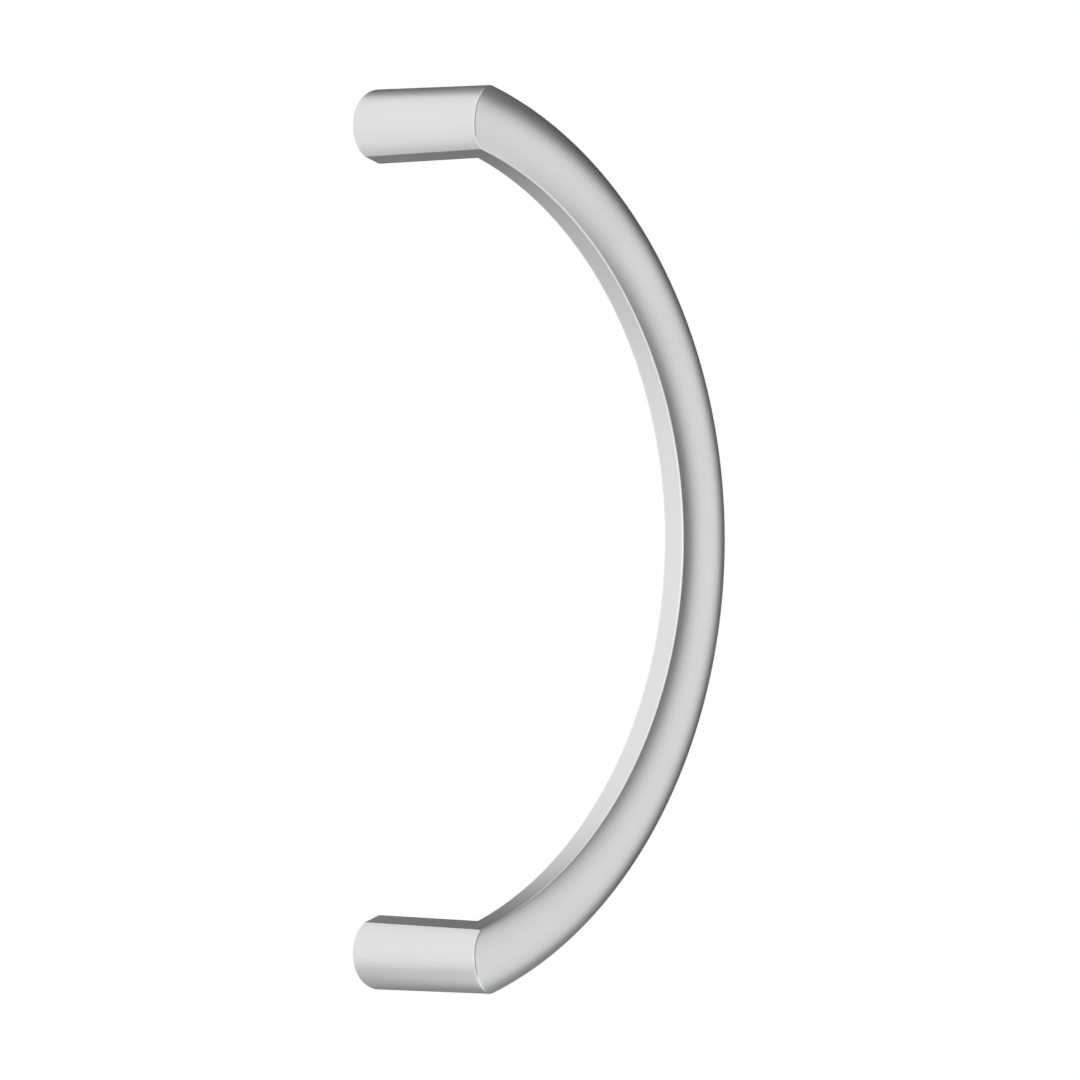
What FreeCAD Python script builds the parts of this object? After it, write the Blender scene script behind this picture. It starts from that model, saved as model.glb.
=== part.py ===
import FreeCAD, Part
import math
import os

# Offset pull handle: two round posts and a flat-oval bow in one piece of metal.
# Millimetres. The door face is the plane y = 0 and the handle stands out along -Y.
# +Z is up, and the origin lies midway between the two feet.

# fixing
fixing_centres = 300.0       # from one fixing bore to the other
bore_radius = 3.4            # tapping size for an M8 thread
bore_depth = 24.0
bore_point_angle = 118.0     # drill point at the blind end

# posts
standoff = 55.8              # door face to the middle plane of the bow
foot_radius = 13.5           # at the door
corner_radius = 12.86        # at the middle plane of the bow
post_flat_width = 7.3        # inner flat, as wide at the corner as at the door
foot_edge_break = 0.4

# bow
lean_angle = 18.4            # how far the corner is rolled towards the middle of the handle
bow_thickness = 14.0         # front to back
bow_flat_width = 9.1         # inner flat, running on from the flat of one post to the other
crown_step = 0.08            # the bow stands this much over the post at the corner
edge_round = 0.7             # along the flat and over the corner

Vector = FreeCAD.Vector
origin = Vector(0, 0, 0)
out = Vector(0, -1, 0)
up = Vector(0, 0, 1)
foot = up * (fixing_centres / 2)

# directions at the upper corner: radial points away from the middle of the arc,
# along runs with the bow towards the middle of the handle
lean = math.radians(lean_angle)
radial = Vector(math.sin(lean), 0, math.cos(lean))
along = Vector(math.cos(lean), 0, -math.sin(lean))

# a round section cut by the flat has its centre this far over the flat
half_post_flat = post_flat_width / 2
foot_height = math.sqrt(foot_radius ** 2 - half_post_flat ** 2)
corner_height = math.sqrt(corner_radius ** 2 - half_post_flat ** 2)

# the flat follows the taper of the post, so it nears the axis by this much per millimetre
flat_slope = (foot_height - corner_height) / standoff

# the arc of the flat, seen from the front
arc_radius = fixing_centres / 2 / math.cos(lean) - corner_height
arc_centre = Vector(-fixing_centres / 2 * math.tan(lean), 0, 0)
flat_middle = arc_centre + radial * arc_radius

# the oval section of the bow, cut by the same flat
half_thickness = bow_thickness / 2
half_bow_flat = bow_flat_width / 2
bow_depth = corner_radius + corner_height + crown_step
flat_share = math.sqrt(1 - (half_bow_flat / half_thickness) ** 2)
half_depth = bow_depth / (1 + flat_share)
oval_height = half_depth * flat_share

# rough bars are longer than the finished post by this much
over_length = 2.0
post_end = standoff + half_thickness + over_length


def at_corner(run, height, stand):
    """A point given by its run along the bow, height over the flat and distance from the door."""
    return flat_middle + along * run + radial * height + out * stand


def mirrored(thing):
    """The same shape at the lower end of the handle."""
    return thing.mirror(origin, up)


def edge_at(shape, point):
    """The edge of a shape that runs through a point."""
    probe = Part.Vertex(point)
    return min(shape.Edges, key=lambda edge: edge.distToShape(probe)[0])


def post_radius(stand):
    """Radius of the post at a distance from the door."""
    return foot_radius + (corner_radius - foot_radius) * stand / standoff


def flat_height(stand):
    """Height of the flat at a distance from the door, zero in the middle plane of the bow."""
    return flat_slope * (stand - standoff)


def make_post_bar():
    """Tapered round bar with its inner flat, longer than the post at both ends."""
    length = post_end + over_length
    bar = Part.makeCone(post_radius(-over_length), post_radius(post_end), length)
    bar.Placement = FreeCAD.Placement(foot - out * over_length,
                                      FreeCAD.Rotation(radial * -1, Vector(), out, "ZXY"))

    edge = flat_height(-over_length)
    below = Part.makePolygon([at_corner(-foot_radius, edge, -over_length),
                              at_corner(foot_radius, edge, -over_length),
                              at_corner(foot_radius, -foot_radius, -over_length),
                              at_corner(-foot_radius, -foot_radius, -over_length),
                              at_corner(-foot_radius, edge, -over_length)])
    bar = bar.cut(Part.Face(below).extrude((out + radial * flat_slope) * length))
    far_edge = at_corner(half_post_flat, flat_height(standoff / 2), standoff / 2)
    return bar.makeFillet(edge_round, [edge_at(bar, far_edge)])


def make_oval():
    """Oval section of the bow at the upper corner, still without its flat."""
    centre = at_corner(0, oval_height, standoff)
    oval = Part.Ellipse(centre - radial * half_depth, centre + out * half_thickness, centre)
    turns = [0, math.pi / 2, 3 * math.pi / 2, 2 * math.pi]
    arcs = [Part.Edge(oval, start, end) for start, end in zip(turns, turns[1:])]
    return Part.Face(Part.Wire(arcs))


def make_bow():
    """The oval swept round the arc; its flat lies on a cone that carries on the post's flat."""
    bow = make_oval().revolve(arc_centre, up.cross(Vector(1, 0, 0)), 180 - 2 * lean_angle)
    core = Part.makeCone(arc_radius + flat_height(0), arc_radius + flat_height(2 * standoff),
                         2 * standoff, arc_centre, out)
    bow = bow.cut(core)
    back = arc_centre + Vector(arc_radius, half_bow_flat - standoff, 0)
    return bow.makeFillet(edge_round, [edge_at(bow, back)])


def make_bore():
    """Blind fixing bore of the upper foot, with a drill point."""
    bore = Part.makeCylinder(bore_radius, bore_depth, foot, out)
    point_length = bore_radius / math.tan(math.radians(bore_point_angle / 2))
    point = Part.makeCone(bore_radius, 0, point_length, foot + out * bore_depth, out)
    return bore.fuse(point)


def make_handle():
    """Posts and bow joined, with the corner capped by the front of the bow."""
    bar = make_post_bar()
    bow = make_bow()

    # up to the middle plane of the bow the post is round; beyond it the oval trims the post
    room = 4 * foot_radius
    behind = Part.makeBox(room, standoff, room, foot + out * standoff - Vector(room, 0, room) / 2)
    post = bar.common(behind)
    cap = bar.common(make_oval().extrude(along * -1.5 * foot_radius))
    handle = post.fuse([cap, bow, mirrored(post), mirrored(cap)])
    handle = handle.removeSplitter().Solids[0]

    # front edges: along the flat of each post, round the bow, and over each corner
    turn = math.radians(45)
    rise = oval_height + half_depth * math.sin(turn)
    stand = standoff + half_thickness * math.cos(turn)
    side = math.sqrt(post_radius(stand) ** 2 - (rise - corner_height) ** 2)
    on_flat = at_corner(-half_post_flat, flat_height(standoff / 2), standoff / 2)
    on_seam = at_corner(-side, rise, stand)
    on_bow = arc_centre + Vector(arc_radius, -half_bow_flat - standoff, 0)
    lower = [Vector(point.x, point.y, -point.z) for point in (on_flat, on_seam)]
    fronts = [edge_at(handle, point) for point in [on_flat, on_seam, on_bow] + lower]
    handle = handle.makeFillet(edge_round, fronts)

    bore = make_bore()
    handle = handle.cut(bore.fuse(mirrored(bore)))
    feet = [face for face in handle.Faces if face.BoundBox.YMin > -1e-6]
    rims = [edge for face in feet for edge in face.OuterWire.Edges]
    return handle.makeChamfer(foot_edge_break, rims).Solids[0]


os.makedirs("parts", exist_ok=True)
handle = make_handle()
handle.exportStep("parts/handle.step")
print("handle", handle.ShapeType, handle.isValid(), round(handle.Volume, 1), "mm3")
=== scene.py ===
# %% [markdown]
# # An offset pull handle in satin metal
# The object is one piece of metal: two round posts stand out from a door, and a flat-oval
# bow joins them while it curves to one side. This lesson loads the measured model as a
# frame, lays a clean quad skin over it, gives the skin an anodised finish, and lights it
# the way a photographer lights a smooth metal bar.

# %% Load the frame
import math

import bmesh
import bpy
import numpy as np
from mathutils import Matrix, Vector


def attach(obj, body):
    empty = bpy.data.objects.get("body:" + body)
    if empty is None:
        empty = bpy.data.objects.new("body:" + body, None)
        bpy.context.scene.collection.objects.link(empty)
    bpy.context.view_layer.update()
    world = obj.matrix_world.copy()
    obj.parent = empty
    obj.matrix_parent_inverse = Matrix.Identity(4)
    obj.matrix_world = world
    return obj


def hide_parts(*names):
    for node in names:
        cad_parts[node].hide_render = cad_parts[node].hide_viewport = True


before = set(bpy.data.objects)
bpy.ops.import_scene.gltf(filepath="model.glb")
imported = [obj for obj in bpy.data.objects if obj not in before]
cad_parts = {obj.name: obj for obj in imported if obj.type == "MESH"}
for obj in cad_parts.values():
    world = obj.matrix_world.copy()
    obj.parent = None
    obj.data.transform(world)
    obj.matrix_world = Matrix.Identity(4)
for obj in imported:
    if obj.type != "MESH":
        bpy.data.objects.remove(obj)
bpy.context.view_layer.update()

# %% [markdown]
# ## Sizes
# The skin follows the same few sizes as the solid, here in metres, and lies a hair inside
# it. The door is the plane y = 0, the posts run towards -Y, and the bow bulges towards +X.
# Each post tapers, and its flat slopes with the taper. Everything at the upper corner is
# easiest in three local directions: along the bow, away from the arc's middle, and out
# from the door.

# %% Sizes and the corner's own directions
mm = 0.001
skin_inset = 0.015 * mm
fixing_centres = 300 * mm
standoff = 55.8 * mm
foot_radius = 13.5 * mm - skin_inset
corner_radius = 12.86 * mm
half_post_flat = 3.65 * mm
half_bow_flat = 4.55 * mm
half_thickness = 7.0 * mm
crown_step = 0.08 * mm
lean = math.radians(18.4)

radial = np.array([math.sin(lean), 0, math.cos(lean)])
along = np.array([math.cos(lean), 0, -math.sin(lean)])
out = np.array([0.0, -1.0, 0.0])

foot_height = math.sqrt(foot_radius ** 2 - half_post_flat ** 2)
corner_height = math.sqrt(corner_radius ** 2 - half_post_flat ** 2)
flat_slope = (foot_height - corner_height) / standoff
arc_radius = fixing_centres / 2 / math.cos(lean) - corner_height
arc_centre = np.array([-fixing_centres / 2 * math.tan(lean), 0, 0])

bow_depth = corner_radius + corner_height + crown_step - skin_inset
flat_share = math.sqrt(1 - (half_bow_flat / half_thickness) ** 2)
half_depth = bow_depth / (1 + flat_share)
oval_height = half_depth * flat_share
print("bow: %.1f mm deep, %.1f mm thick, flat on a radius of %.1f mm"
      % (bow_depth / mm, 2 * half_thickness / mm, arc_radius / mm))


def at_corner(run, height, stand):
    """Point from its run along the bow, height over the flat and distance from the door."""
    return arc_centre + radial * (arc_radius + height) + along * run + out * stand


def flat_height(stand):
    """Height of the sloping flat at a distance from the door, zero in the bow's middle plane."""
    return flat_slope * (stand - standoff)


# %% [markdown]
# ## One ring at the corner
# A sweep along a bent path would pinch where the post meets the bow, because the post is
# round and the bow is a thin oval. A boolean would join them but leave ragged triangles.
# Instead one ring of points is worked out exactly where the two forms meet. Every line of
# the post then ends on this ring, and every line of the bow starts there, so the whole
# skin is quads. Two helpers come first: the radius of the tapered post, and the steps round
# one half of the oval.

# %% Taper of the post and steps round the oval
flank_steps = 40
tip_radius = bow_depth - corner_height


def post_radius(stand):
    """Radius of the post at a distance from the door."""
    return foot_radius + (tip_radius - foot_radius) * stand / standoff


def oval_turns(side):
    """Turns round the oval from the flat to the crown, on its front (1) or its back (-1)."""
    tilt = math.atan(side * flat_slope * half_thickness / half_depth)
    reach = math.hypot(half_depth, flat_slope * half_thickness)
    return np.linspace(tilt - math.asin(oval_height / reach), math.pi / 2, flank_steps + 1)


print("post radius %.2f mm at the door, %.2f mm at the corner"
      % (post_radius(0) / mm, post_radius(standoff) / mm))

# %% [markdown]
# ## The points of the ring
# On the near side the ring is the seam where the oval cuts the post off. On the far side it
# is the inside of the corner, and across the flat it is a plain mitre. Each point keeps four
# numbers: its run along the bow, its height over the flat, its distance from the door, and
# its reach, which is the height that its line keeps all along the bow.

# %% The ring where post and bow meet
flat_steps = 4
corner_ring = []
for turn in oval_turns(1):
    height = oval_height + half_depth * math.sin(turn)
    stand = standoff + half_thickness * math.cos(turn)
    run = -math.sqrt(max(post_radius(stand) ** 2 - (height - corner_height) ** 2, 0))
    corner_ring.append((run, height, stand, height))
for turn in oval_turns(-1)[-2::-1]:
    reach = oval_height + half_depth * math.sin(turn)
    stand = standoff - half_thickness * math.cos(turn)
    height = ((arc_radius + reach) ** 2 - arc_radius ** 2
              - post_radius(stand) ** 2 + corner_height ** 2)
    height = height / (2 * (arc_radius + corner_height))
    run = math.sqrt(max(post_radius(stand) ** 2 - (height - corner_height) ** 2, 0))
    corner_ring.append((run, height, stand, reach))
far_run, far_stand = corner_ring[-1][0], corner_ring[-1][2]
near_run, near_stand = corner_ring[0][0], corner_ring[0][2]
for step in range(1, flat_steps):
    share = step / flat_steps
    run = far_run + (near_run - far_run) * share
    stand = far_stand + (near_stand - far_stand) * share
    reach = flat_height(stand)
    drop = math.sqrt(arc_radius ** 2 - run ** 2) - arc_radius if run > 0 else 0.0
    corner_ring.append((run, reach + drop, stand, reach))
columns = len(corner_ring)
print("corner ring of", columns, "points")

# %% [markdown]
# ## Lines of the post and lines of the bow
# Each point of the ring sends one line back to the door and one line along the bow to the
# middle of the handle. On the post a line keeps its place round the tapered section. On
# the bow it keeps its place in the oval and turns about the middle of the arc. The lower
# half is a mirror image, so only the upper half is drawn.

# %% Points of the upper half
post_rows = 22
bow_rows = 90
half_sweep = math.pi / 2 - lean
mean_radius = arc_radius + oval_height


def post_point(column, share):
    """Point on the post's line of a column, from the door (share 0) to the corner (share 1)."""
    run, height, stand, reach = corner_ring[column]
    if column > 2 * flank_steps:
        height = flat_height(stand * share) + (height - reach) * share
        return at_corner(run, height, stand * share)
    radius = post_radius(stand)
    place = math.atan2(height - corner_height, abs(run))
    first = -math.asin((corner_height - flat_height(stand)) / radius)
    part = (place - first) / (math.pi / 2 - first)
    stand, radius = stand * share, post_radius(stand * share)
    first = -math.asin((corner_height - flat_height(stand)) / radius)
    place = first + part * (math.pi / 2 - first)
    side = -1 if column < flank_steps else 1
    run, height = side * radius * math.cos(place), corner_height + radius * math.sin(place)
    return at_corner(run, height, stand)


def bow_point(column, share):
    """Point on the bow's line of a column, from the corner (share 0) to the middle (share 1)."""
    run, height, stand, reach = corner_ring[column]
    start = run / mean_radius if run < 0 else math.atan2(run, arc_radius + height)
    turn = start + (half_sweep - start) * share
    if turn < 0:
        return at_corner(turn * mean_radius, reach, stand)
    away = radial * math.cos(turn) + along * math.sin(turn)
    return arc_centre + away * (arc_radius + reach) + out * stand


rows = [[post_point(c, r / post_rows) for c in range(columns)] for r in range(post_rows + 1)]
rows += [[bow_point(c, r / bow_rows) for c in range(columns)] for r in range(1, bow_rows + 1)]
print("upper half:", len(rows), "rings of", columns, "points")

# %% [markdown]
# ## The skin as a mesh
# The rings become a tube of quads. The foot is closed by a flat face with a round hole for
# the fixing bolt, and a short countersink leads into that hole. The rims of the countersink
# are marked sharp, so that its shading doesn't run over into the flat face.

# %% Build the tube and its foot
mouth_radius = 4.4 * mm
bore_radius = 3.4 * mm
lead_in = 1.0 * mm

skin = bmesh.new()
grid = [[skin.verts.new(point) for point in row] for row in rows]
for upper, lower in zip(grid, grid[1:]):
    for c in range(columns):
        d = (c + 1) % columns
        skin.faces.new((upper[c], upper[d], lower[d], lower[c]))

foot_middle = at_corner(0, corner_height, 0)
inner_ring = grid[0]
for ring_radius, depth in ((mouth_radius, 0.0), (bore_radius, lead_in)):
    ring = []
    for vert in grid[0]:
        away = np.array(vert.co) - foot_middle
        away = away / np.linalg.norm(away) * ring_radius
        ring.append(skin.verts.new(foot_middle + away + out * depth))
    for c in range(columns):
        d = (c + 1) % columns
        skin.faces.new((inner_ring[d], inner_ring[c], ring[c], ring[d]))
        skin.edges.get((ring[c], ring[d])).smooth = False
    inner_ring = ring
bmesh.ops.recalc_face_normals(skin, faces=skin.faces)
print("tube and foot:", len(skin.faces), "faces")

# %% [markdown]
# ## Weights for the rounded edges
# Edges that are rounded on the real handle get a bevel weight. A rolled edge of constant
# radius takes a wider band where the surfaces meet at a sharper angle, so each weight is
# worked out from the angle there. The corner's seam fades out at the crown, where post and
# bow run into each other, so its last few steps get no weight. On the far side of the corner
# there is no bevel, and only a steep meeting is shaded as an edge.

# %% Weigh the rounded edges
edge_round = 0.9 * mm
seam_round = 0.65 * mm
foot_break = 0.4 * mm
seam_fade = 4
steep = math.radians(20)
weights = skin.edges.layers.float.new("bevel_weight_edge")


def round_over(first, second, radius):
    """Give the edge between two points the bevel of a rolled edge of this radius."""
    edge = skin.edges.get((first, second))
    turn = edge.calc_face_angle(0.0)
    edge[weights] = min(radius * math.tan(turn / 2) / edge_round, 1.0)


near, far = 0, 2 * flank_steps
for upper, lower in zip(grid, grid[1:]):
    round_over(upper[near], lower[near], edge_round)
    round_over(upper[far], lower[far], edge_round)
seam = grid[post_rows]
for c in range(flank_steps - seam_fade):
    round_over(seam[c], seam[c + 1], seam_round)
for c in range(columns):
    round_over(grid[0][c], grid[0][(c + 1) % columns], foot_break)
for c in range(flank_steps, 2 * flank_steps):
    edge = skin.edges.get((seam[c], seam[c + 1]))
    edge.smooth = edge.calc_face_angle(0.0) < steep
for face in skin.faces:
    face.smooth = True

mesh = bpy.data.meshes.new("pull_handle")
skin.to_mesh(mesh)
skin.free()
handle = bpy.data.objects.new("pull_handle", mesh)
bpy.context.collection.objects.link(handle)
print("half skin:", len(mesh.vertices), "points,", len(mesh.polygons), "faces")

# %% [markdown]
# ## Mirror, bevel and smooth shading
# Three modifiers finish the form, in this order. The mirror adds the lower half, the bevel
# rounds the weighted edges, and weighted normals keep the flat dead flat right up to its
# rounded edge, where plain smooth shading would bend its reflection. The bevel puts the
# rounded edges in the second material slot, whose lighter grey is a painted highlight.

# %% Modifiers
mirror = handle.modifiers.new("lower_half", "MIRROR")
mirror.use_axis = (False, False, True)
mirror.use_clip = True
mirror.merge_threshold = 0.01 * mm

bevel = handle.modifiers.new("rolled_edges", "BEVEL")
bevel.limit_method = "WEIGHT"
bevel.offset_type = "OFFSET"
bevel.width = edge_round
bevel.segments = 3
bevel.use_clamp_overlap = False
bevel.material = 1

normals = handle.modifiers.new("even_shading", "WEIGHTED_NORMAL")
normals.keep_sharp = True
normals.weight = 50

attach(handle, "root")
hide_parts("handle")
print("modifiers:", [modifier.name for modifier in handle.modifiers])

# %% [markdown]
# ## The tapped bores
# A handle with no screw on show is held by bolts from the other side of the door, so each
# foot has a tapped hole. The countersink cuts the first turn of the thread away, so points
# that would stand in the countersink are moved just behind its wall.

# %% Sizes of a bore and one point in it
thread_root = 4.0 * mm
pitch = 1.25 * mm
bore_depth = 24.0 * mm
drill_half_angle = math.radians(59)
point_length = bore_radius / math.tan(drill_half_angle)
around = 32
cover = 0.02 * mm


def bore_spot(middle, radius, depth, step):
    """Point in a bore at a depth, turned by some steps and kept behind the countersink."""
    depth = max(depth, cover)
    countersink = mouth_radius - (mouth_radius - bore_radius) * depth / lead_in
    radius = max(radius, countersink + cover)
    angle = 2 * math.pi * step / around
    return middle + np.array([math.cos(angle), 0, math.sin(angle)]) * radius + out * depth


print("bore: %.1f mm deep, and a drill point of %.1f mm" % (bore_depth / mm, point_length / mm))

# %% [markdown]
# ## A thread from two helices
# A screw modifier could turn a profile into a thread, but it couldn't move the first turn
# behind the countersink. So the thread is drawn as two helices, one along its crests and one
# along its roots, with a strip of quads between each neighbouring pair. A plain wall and a
# drill point close the bore. The thread is drawn twice and not mirrored, because it turns
# the same way in both feet.

# %% Thread in each foot
thread_start = lead_in - pitch
thread_turns = 18
count = around * thread_turns
plain_start = thread_start + pitch * (thread_turns - 1)

bores = bmesh.new()
for end in (1, -1):
    middle = np.array([0, 0, end * fixing_centres / 2])
    crest, root = [], []
    for step in range(count + 1):
        depth = thread_start + pitch * step / around
        crest.append(bores.verts.new(bore_spot(middle, bore_radius, depth, step)))
        root.append(bores.verts.new(bore_spot(middle, thread_root, depth + pitch / 2, step)))
    for step in range(count):
        bores.faces.new((crest[step], crest[step + 1], root[step + 1], root[step]))
        turned = step + around
        if turned < count:
            bores.faces.new((root[step], root[step + 1], crest[turned + 1], crest[turned]))
    wall = []
    for depth in (plain_start, bore_depth):
        spots = [bore_spot(middle, bore_radius, depth, step) for step in range(around)]
        wall.append([bores.verts.new(spot) for spot in spots])
    tip = bores.verts.new(middle + out * (bore_depth + point_length))
    for step in range(around):
        after = (step + 1) % around
        bores.faces.new((wall[0][step], wall[0][after], wall[1][after], wall[1][step]))
        bores.faces.new((wall[1][step], wall[1][after], tip))
bmesh.ops.recalc_face_normals(bores, faces=bores.faces)
bmesh.ops.reverse_faces(bores, faces=bores.faces)

mesh = bpy.data.meshes.new("fixing_threads")
bores.to_mesh(mesh)
bores.free()
threads = bpy.data.objects.new("fixing_threads", mesh)
bpy.context.collection.objects.link(threads)
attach(threads, "root")
print("threads:", len(mesh.polygons), "faces")

# %% [markdown]
# ## Satin anodised finish
# The real surface is fine blasted and anodised: light grey, evenly dull, with no brush lines.
# Its reflections are soft, and a close look shows a very fine grain. The shader is a plain
# metal. A fine noise changes its grey a little and gives the grain a real height. A slow
# noise changes its roughness, as handling does. A picture could do the same, but noise has
# no seams and needs no unwrapping.

# %% A grained metal
grain_scale, grain_detail = 2600.0, 2.0
grain_height, grain_strength = 0.04 * mm, 0.12
cloud_scale, cloud_detail = 38.0, 3.0
cool_tint = 1.006


def add(tree, kind, **values):
    """New node in a node tree, with its properties and input values set."""
    node = tree.nodes.new(kind)
    for name, value in values.items():
        if name in node.inputs:
            node.inputs[name].default_value = value
        else:
            setattr(node, name, value)
    return node


def make_finish(name, greys, roughness):
    """Grained metal; its grey and its roughness each wander between two values."""
    finish = bpy.data.materials.new(name)
    finish.use_nodes = True
    tree = finish.node_tree
    tree.nodes.clear()
    output = add(tree, "ShaderNodeOutputMaterial")
    metal = add(tree, "ShaderNodeBsdfPrincipled", Metallic=1.0)
    place = add(tree, "ShaderNodeTexCoord")
    grain = add(tree, "ShaderNodeTexNoise", Scale=grain_scale, Detail=grain_detail)
    cloud = add(tree, "ShaderNodeTexNoise", Scale=cloud_scale, Detail=cloud_detail)
    tone = add(tree, "ShaderNodeValToRGB")
    for stop, grey in zip(tone.color_ramp.elements, greys):
        stop.color = (grey, grey, grey * cool_tint, 1)
    dull = add(tree, "ShaderNodeMapRange")
    dull.inputs["To Min"].default_value, dull.inputs["To Max"].default_value = roughness
    relief = add(tree, "ShaderNodeBump", Strength=grain_strength, Distance=grain_height)

    join = tree.links.new
    join(place.outputs["Object"], grain.inputs["Vector"])
    join(place.outputs["Object"], cloud.inputs["Vector"])
    join(grain.outputs["Fac"], tone.inputs["Fac"])
    join(grain.outputs["Fac"], relief.inputs["Height"])
    join(cloud.outputs["Fac"], dull.inputs["Value"])
    join(tone.outputs["Color"], metal.inputs["Base Color"])
    join(dull.outputs["Result"], metal.inputs["Roughness"])
    join(relief.outputs["Normal"], metal.inputs["Normal"])
    join(metal.outputs["BSDF"], output.inputs["Surface"])
    print("finish", name, "with", len(tree.nodes), "nodes")
    return finish


# %% [markdown]
# ## The same metal, plain, with a painted highlight and with painted shade
# The rounded edges are less dull than the rest, as they catch every rub, and a lighter grey
# paints a highlight along them. The bores are cut bare metal, painted dark for the shade deep
# in a hole. One recipe with other values makes all three.

# %% Finishes
satin = make_finish("satin_anodised", (0.737, 0.783), (0.36, 0.42))
# The edges' lighter grey is a painted highlight; their lower roughness is their own.
highlight_edge_finish = make_finish("edge_painted_highlight", (0.82, 0.86), (0.28, 0.34))
# The bores' dark grey is painted shade, for the dark inside of a deep hole.
shaded_bore_finish = make_finish("bore_painted_shade", (0.17, 0.21), (0.48, 0.56))
for piece, finishes in ((handle, (satin, highlight_edge_finish)), (threads, (shaded_bore_finish,))):
    piece.data.materials.clear()
    for finish in finishes:
        piece.data.materials.append(finish)
    print(piece.name, "has", [finish.name for finish in finishes])

# %% [markdown]
# ## Camera
# The picture was taken with a long lens from the left front, level with the middle of the
# handle. A long lens far away keeps the two posts almost parallel. The camera stands back
# along its own viewing line and slides sideways, so it needs no shift.

# %% Place the camera
azimuth = math.radians(-44.7)
toward = Vector((math.sin(azimuth), -math.cos(azimuth), 0))
right = Vector((math.cos(azimuth), math.sin(azimuth), 0))
camera_back, camera_slide, camera_rise = 3.089, 0.0584, -0.0002

camera_data = bpy.data.cameras.new("long_lens")
camera_data.sensor_width = 36
camera_data.lens = 283.4
camera_data.clip_end = 100
camera = bpy.data.objects.new("long_lens", camera_data)
camera.location = toward * camera_back + right * camera_slide + Vector((0, 0, camera_rise))
camera.rotation_euler = (math.pi / 2, 0, azimuth)
bpy.context.collection.objects.link(camera)
bpy.context.scene.camera = camera
print("camera at", [round(value, 3) for value in camera.location])

# %% [markdown]
# ## White room
# Smooth metal shows what stands round it, and here that is a white room. What the camera and
# the metal see of it is white at a strength of 1. The light that it throws on dull surfaces
# has a strength of its own, so one can be changed without the other.

# %% White world
white = (1, 1, 1, 1)
seen_strength, fill_strength = 1.0, 1.0
scene = bpy.context.scene
scene.view_settings.view_transform = "Standard"
world = bpy.data.worlds.new("white_room")
scene.world = world
world.use_nodes = True
tree = world.node_tree
tree.nodes.clear()
output = add(tree, "ShaderNodeOutputWorld")
seen = add(tree, "ShaderNodeBackground", Color=white, Strength=seen_strength)
fill = add(tree, "ShaderNodeBackground", Color=white, Strength=fill_strength)
path = add(tree, "ShaderNodeLightPath")
either = add(tree, "ShaderNodeMath", operation="MAXIMUM")
any_of = add(tree, "ShaderNodeMath", operation="MAXIMUM")
mix = add(tree, "ShaderNodeMixShader")
tree.links.new(path.outputs["Is Camera Ray"], either.inputs[0])
tree.links.new(path.outputs["Is Glossy Ray"], either.inputs[1])
tree.links.new(either.outputs[0], any_of.inputs[0])
tree.links.new(path.outputs["Is Transmission Ray"], any_of.inputs[1])
tree.links.new(any_of.outputs[0], mix.inputs["Fac"])
tree.links.new(fill.outputs[0], mix.inputs[1])
tree.links.new(seen.outputs[0], mix.inputs[2])
tree.links.new(mix.outputs[0], output.inputs["Surface"])
print("world:", world.name, "with", len(tree.nodes), "nodes")

# %% [markdown]
# ## Floor
# The handle hangs in the air as it would on a door, so the floor lies well below it. It is
# plain, pale and dull, and it reaches far past the picture.

# %% Pale floor
def flat_piece(name, middle, across, upward):
    """A rectangle given by its middle and its two half sides."""
    middle, across, upward = Vector(middle), Vector(across), Vector(upward)
    corners = [middle - across - upward, middle + across - upward,
               middle + across + upward, middle - across + upward]
    mesh = bpy.data.meshes.new(name)
    mesh.from_pydata([list(corner) for corner in corners], [], [(0, 1, 2, 3)])
    piece = bpy.data.objects.new(name, mesh)
    bpy.context.collection.objects.link(piece)
    return piece


floor_height, floor_half, floor_grey = -1.1, 6, 0.96
floor = flat_piece("floor", (0, 0, floor_height), (floor_half, 0, 0), (0, floor_half, 0))
pale = bpy.data.materials.new("pale_floor")
pale.use_nodes = True
paint = pale.node_tree.nodes["Principled BSDF"]
paint.inputs["Base Color"].default_value = (floor_grey, floor_grey, floor_grey, 1)
paint.inputs["Roughness"].default_value = 0.9
floor.data.materials.append(pale)
print("floor at", floor_height, "m")

# %% [markdown]
# ## Grey cards
# A white room alone would leave the metal pale and formless. So grey cards stand where the
# real surface turns dark: behind the handle, in front of it on the right, overhead and
# below. The four low cards step from dark to pale towards the left, so that the underside of
# the lower post darkens softly. The cards are there only for reflections. The camera and the
# floor don't see them, and they throw no shadow.

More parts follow.
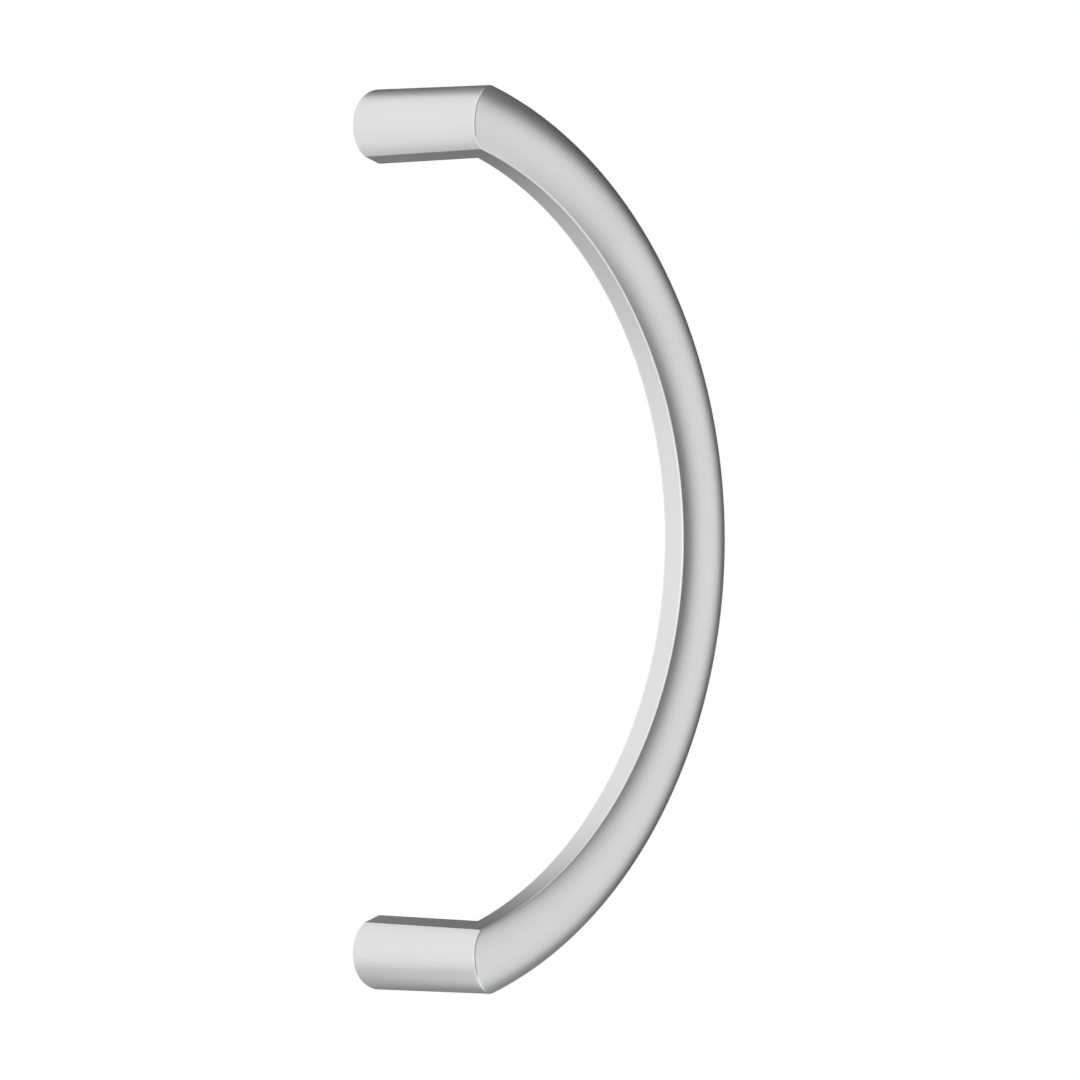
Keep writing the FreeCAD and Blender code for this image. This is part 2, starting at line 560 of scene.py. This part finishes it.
# %% Cards round the handle
def card(name, middle, across, upward, level):
    """Grey card; its middle and half sides are (right, toward, up) of the camera."""
    spread = [right * r + toward * t + Vector((0, 0, u)) for r, t, u in (middle, across, upward)]
    piece = flat_piece(name, *spread)
    paint = bpy.data.materials.new(name)
    paint.use_nodes = True
    tree = paint.node_tree
    tree.nodes.clear()
    glow = add(tree, "ShaderNodeEmission", Color=(level, level, level, 1))
    output = add(tree, "ShaderNodeOutputMaterial")
    tree.links.new(glow.outputs[0], output.inputs["Surface"])
    piece.data.materials.append(paint)
    piece.visible_camera = False
    piece.visible_diffuse = False
    piece.visible_shadow = False


low = -0.36
card("card_behind", (0.70, -0.9, 0.4), (1.0, 0, 0), (0, 0, 1.5), 0.03)
card("card_front", (1.0, 0.9, 0), (0.8, 0, 0), (0, 0, 1.2), 0.1)
card("card_front_high", (1.0, 0.45, 0.95), (0.5, 0, 0), (0, 0.45, 0), 0.1)
card("card_above", (0.35, -0.52, 0.85), (0.75, 0, 0), (0, 0.38, 0), 0.2)
card("card_high_right", (0.95, -0.76, 0.88), (0, 0.74, 0), (-0.4, 0, 0.38), 0.1)
card("card_below", (0.19, -0.33, low), (0.26, 0, 0), (0, 0.27, 0), 0.2)
card("card_below_left", (-0.13, -0.33, low), (0.06, 0, 0), (0, 0.27, 0), 0.4)
card("card_low_left", (-0.26, -0.26, low), (0.07, 0, 0), (0, 0.34, 0), 0.56)
card("card_far_left", (-0.43, -0.17, low), (0.1, 0, 0), (0, 0.43, 0), 0.78)

# %% [markdown]
# ## A soft lamp for the edges
# One soft lamp stands left of the camera. It adds little light, and its use is the thin
# bright line that it draws along the rounded edges of the flat and the corner.

# %% Lamp
lamp_back, lamp_left = 1.15, 0.75
lamp_data = bpy.data.lights.new("edge_lamp", "AREA")
lamp_data.energy = 0.6
lamp_data.size = 0.7
lamp = bpy.data.objects.new("edge_lamp", lamp_data)
lamp.location = toward * lamp_back - right * lamp_left
lamp.rotation_euler = (math.pi / 2, 0, azimuth - math.atan2(lamp_left, lamp_back))
bpy.context.collection.objects.link(lamp)
print("lamp at", [round(value, 2) for value in lamp.location])
